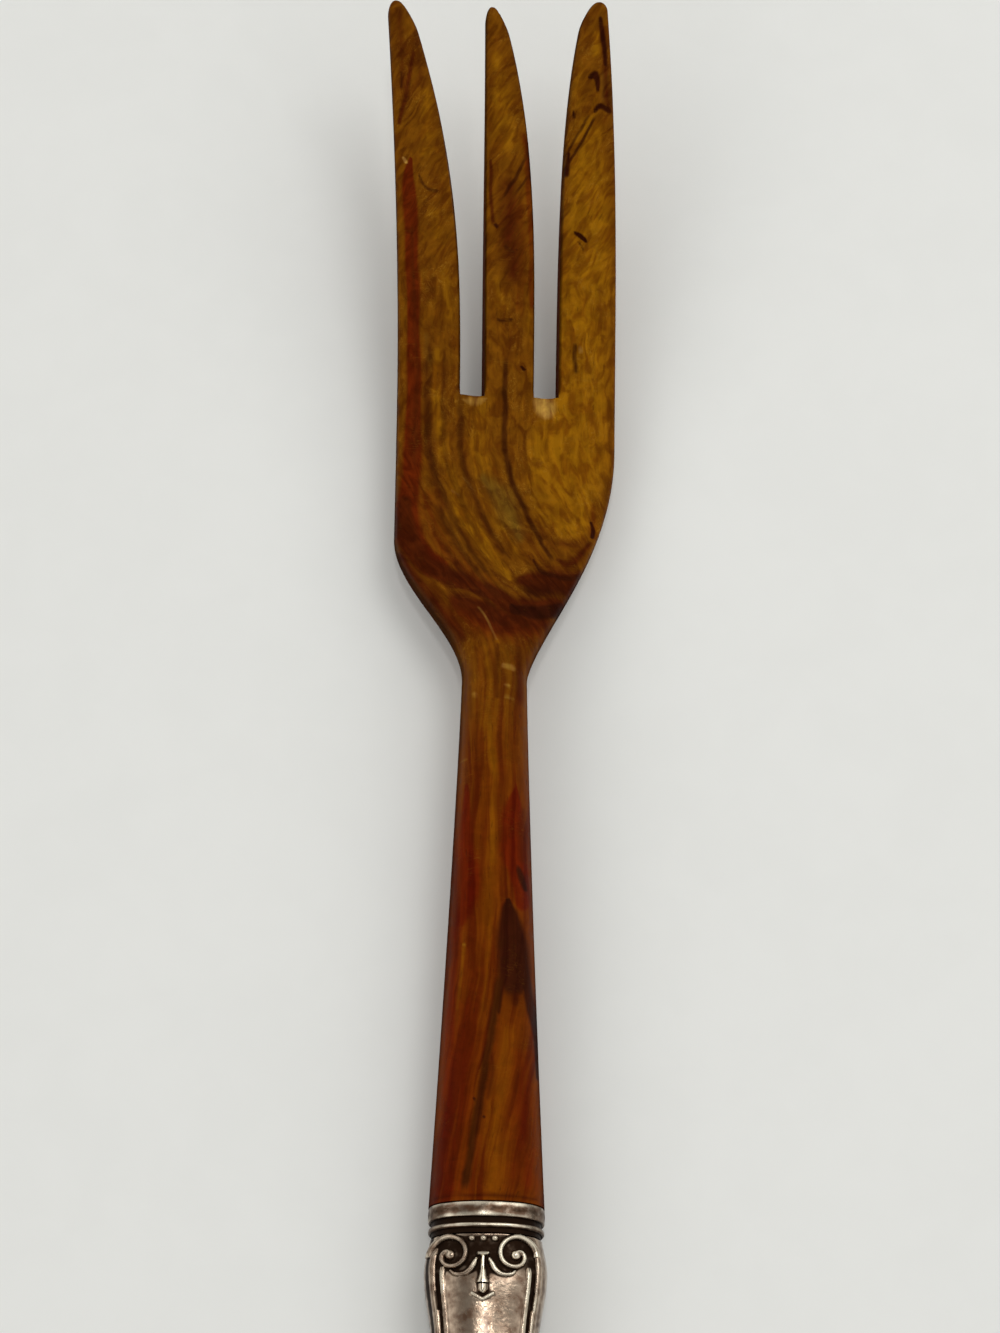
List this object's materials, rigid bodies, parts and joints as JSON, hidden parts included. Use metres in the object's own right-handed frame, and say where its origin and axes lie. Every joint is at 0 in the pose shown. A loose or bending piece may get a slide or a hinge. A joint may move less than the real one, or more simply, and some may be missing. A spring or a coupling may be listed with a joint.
{
  "type": "salad serving fork",
  "caption": "Serving fork with a carved wooden head, neck and tapered shank, set by a banded collar in a hollow silver handle with scrolled shoulders and thread borders.",
  "frame": {"origin": "centre of the bounding box on the plane that the fork lies on", "axes": "+Y along the fork from the butt to the tips, +X to the right seen from the front, +Z out of the front of the head, up from the table"},
  "size_m": [0.0319, 0.272, 0.0241],
  "materials": {
    "olive_wood": "hand-carved olive wood, oiled and worn to a satin",
    "collar_silver": "silver, worn bright with dark grooves",
    "handle_silver": "silver with a warm mottled tarnish, dark in the recesses",
    "handle_cement": "set cement, hidden"
  },
  "bodies": {
    "root": {"fork_head": "olive_wood", "ferrule_collar": "collar_silver", "collar_bead_ring": "collar_silver", "handle_front_shell": "handle_silver", "handle_back_shell": "handle_silver", "cement_fill": "handle_cement"}
  },
  "joints": []
}
